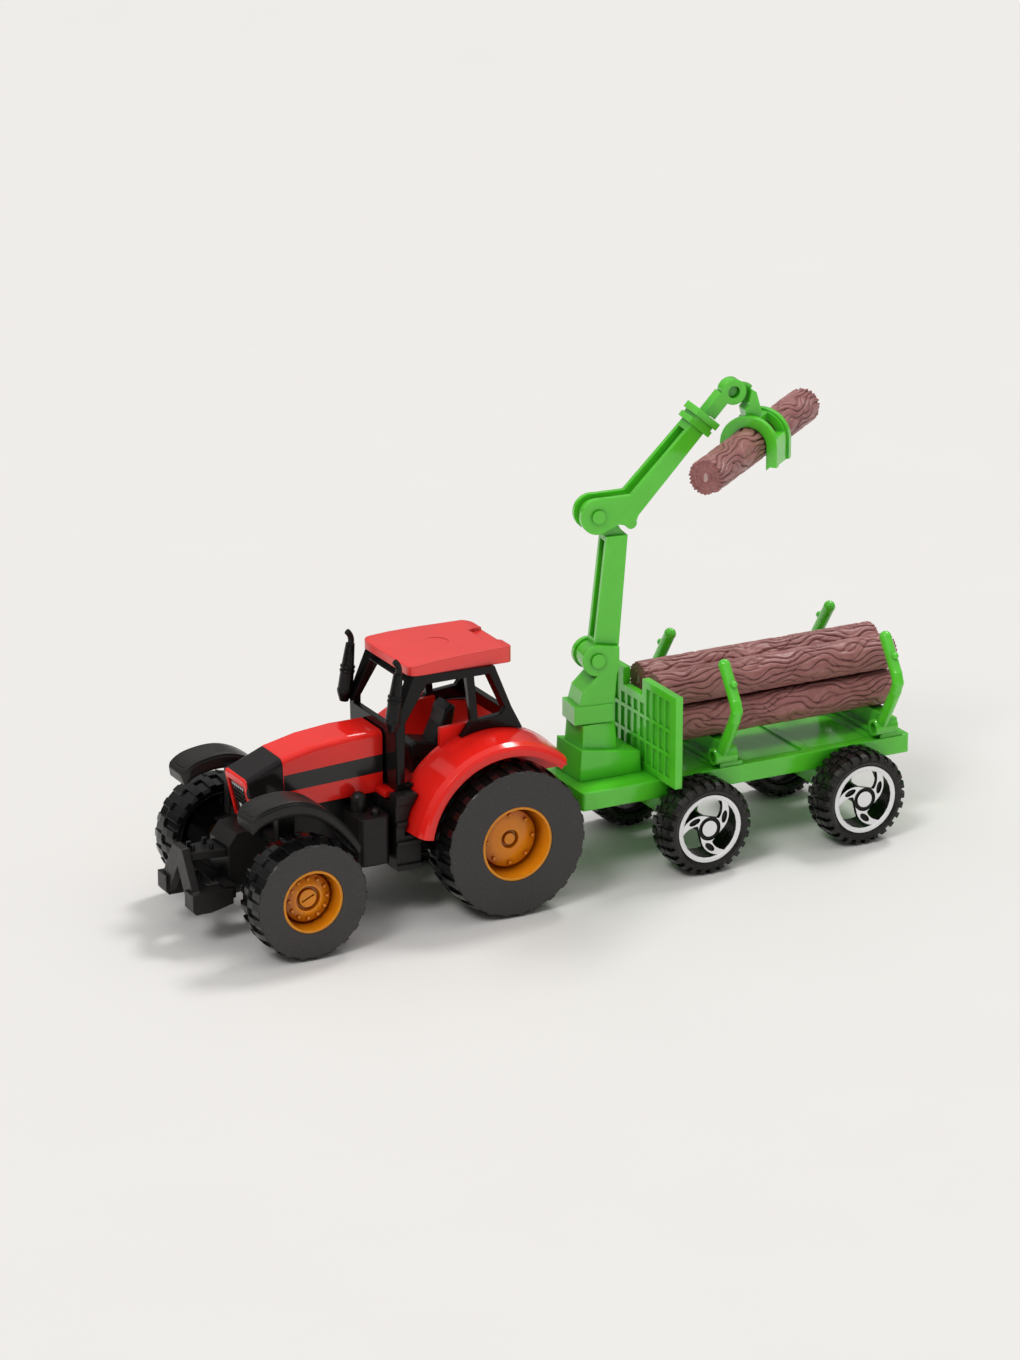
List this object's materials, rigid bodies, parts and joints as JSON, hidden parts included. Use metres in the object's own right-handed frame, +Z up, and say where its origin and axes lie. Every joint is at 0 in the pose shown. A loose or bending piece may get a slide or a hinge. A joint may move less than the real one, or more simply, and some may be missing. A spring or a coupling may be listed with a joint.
{
  "type": "toy tractor with log trailer",
  "caption": "Toy farm tractor with an open cab, pulling a log trailer with a jointed loading crane that holds a log in its grapple.",
  "frame": {"origin": "on the ground below the middle of the whole toy, tractor and trailer in line", "axes": "+X from the tractor's nose to the trailer's tail, +Z up, -Y the toy's left side"},
  "size_m": [0.204, 0.0624, 0.1249],
  "materials": {
    "red_plastic": "glossy red moulding",
    "black_gloss": "glossy black moulding",
    "charcoal": "satin charcoal moulding",
    "seat_black": "satin black moulding",
    "tyre_black": "hard plastic, flat grey-black face and glossy tread",
    "amber": "translucent amber hub",
    "steel": "drawn rod and screws",
    "green": "glossy green moulding",
    "trailer_tyre": "glossy black moulding",
    "white_print": "black hub with a white printed face",
    "log_brown": "semi-gloss mauve-brown moulding with bark relief"
  },
  "bodies": {
    "tractor": {"chassis": "charcoal", "body_shell": "red_plastic", "bonnet_cowl": "black_gloss", "grille": "black_gloss", "cab_frame": "black_gloss", "roof": "red_plastic", "seat": "seat_black", "exhaust_stack_left": "black_gloss", "exhaust_stack_right": "black_gloss", "front_mudguard_left": "charcoal", "front_mudguard_right": "charcoal", "front_linkage": "charcoal", "chassis_screws": "steel"},
    "tractor_front_wheels": {"front_axle": "steel", "front_rim_left": "amber", "front_rim_right": "amber", "front_tyre_left": "tyre_black", "front_tyre_right": "tyre_black"},
    "tractor_rear_wheels": {"rear_axle": "steel", "rear_rim_left": "amber", "rear_rim_right": "amber", "rear_tyre_left": "tyre_black", "rear_tyre_right": "tyre_black"},
    "trailer": {"trailer_deck": "green", "crane_pedestal": "green", "headboard": "green", "front_stakes": "green", "rear_stakes": "green"},
    "trailer_front_wheels": {"trailer_front_axle": "steel", "trailer_front_hub_left": "white_print", "trailer_front_hub_right": "white_print", "trailer_front_tyre_left": "trailer_tyre", "trailer_front_tyre_right": "trailer_tyre"},
    "trailer_rear_wheels": {"trailer_rear_axle": "steel", "trailer_rear_hub_left": "white_print", "trailer_rear_hub_right": "white_print", "trailer_rear_tyre_left": "trailer_tyre", "trailer_rear_tyre_right": "trailer_tyre"},
    "turret": {"crane_turret": "green"},
    "boom": {"crane_column": "green", "boom_pin": "green"},
    "forearm": {"crane_forearm": "green", "arm_pin": "green"},
    "stick": {"crane_stick": "green"},
    "grapple": {"grapple": "green"},
    "held_log": {"held_log": "log_brown"},
    "log_1": {"log_1": "log_brown"},
    "log_2": {"log_2": "log_brown"},
    "log_3": {"log_3": "log_brown"},
    "log_4": {"log_4": "log_brown"}
  },
  "joints": [
    {"name": "front_wheels_spin", "type": "hinge", "parent": "tractor", "child": "tractor_front_wheels", "pos_m": [-0.0788, 0, 0.0155], "axis": [0, 1, 0], "continuous": true},
    {"name": "rear_wheels_spin", "type": "hinge", "parent": "tractor", "child": "tractor_rear_wheels", "pos_m": [-0.021, 0, 0.0197], "axis": [0, 1, 0], "continuous": true},
    {"name": "hitch_yaw", "type": "hinge", "parent": "tractor", "child": "trailer", "pos_m": [-0.004, 0, 0.0173], "axis": [0, 0, 1], "range_deg": [-18, 18]},
    {"name": "trailer_front_wheels_spin", "type": "hinge", "parent": "trailer", "child": "trailer_front_wheels", "pos_m": [0.0364, 0, 0.01245], "axis": [0, 1, 0], "continuous": true},
    {"name": "trailer_rear_wheels_spin", "type": "hinge", "parent": "trailer", "child": "trailer_rear_wheels", "pos_m": [0.0825, 0, 0.01245], "axis": [0, 1, 0], "continuous": true},
    {"name": "crane_slew", "type": "hinge", "parent": "trailer", "child": "turret", "pos_m": [0.0135, 0, 0.0382], "axis": [0, 0, 1], "range_deg": [-75, 75]},
    {"name": "boom_tilt", "type": "hinge", "parent": "turret", "child": "boom", "pos_m": [0.01518, -0.00024, 0.0551], "axis": [0.1392, 0.9903, 0], "range_deg": [-8, 22]},
    {"name": "forearm_tilt", "type": "hinge", "parent": "boom", "child": "forearm", "pos_m": [0.01548, -0.00028, 0.093], "axis": [0.1392, 0.9903, 0], "range_deg": [-40, 8]},
    {"name": "stick_slide", "type": "slide", "parent": "forearm", "child": "stick", "axis": [0.6575, -0.0924, 0.7478], "range_m": [0, 0.01]},
    {"name": "grapple_swing", "type": "hinge", "parent": "stick", "child": "grapple", "pos_m": [0.05214, -0.00543, 0.12156], "axis": [0.1392, 0.9903, 0], "range_deg": [-35, 2]},
    {"name": "held_log_slide", "type": "slide", "parent": "grapple", "child": "held_log", "axis": [0.7771, 0.6293, 0], "range_m": [-0.015, 0.015]},
    {"name": "log_1_slide", "type": "slide", "parent": "trailer", "child": "log_1", "axis": [1, 0, 0], "range_m": [0, 0.065]},
    {"name": "log_2_slide", "type": "slide", "parent": "trailer", "child": "log_2", "axis": [1, 0, 0], "range_m": [0, 0.065]},
    {"name": "log_3_slide", "type": "slide", "parent": "trailer", "child": "log_3", "axis": [1, 0, 0], "range_m": [0, 0.065]},
    {"name": "log_4_slide", "type": "slide", "parent": "trailer", "child": "log_4", "axis": [1, 0, 0], "range_m": [0, 0.065]}
  ]
}
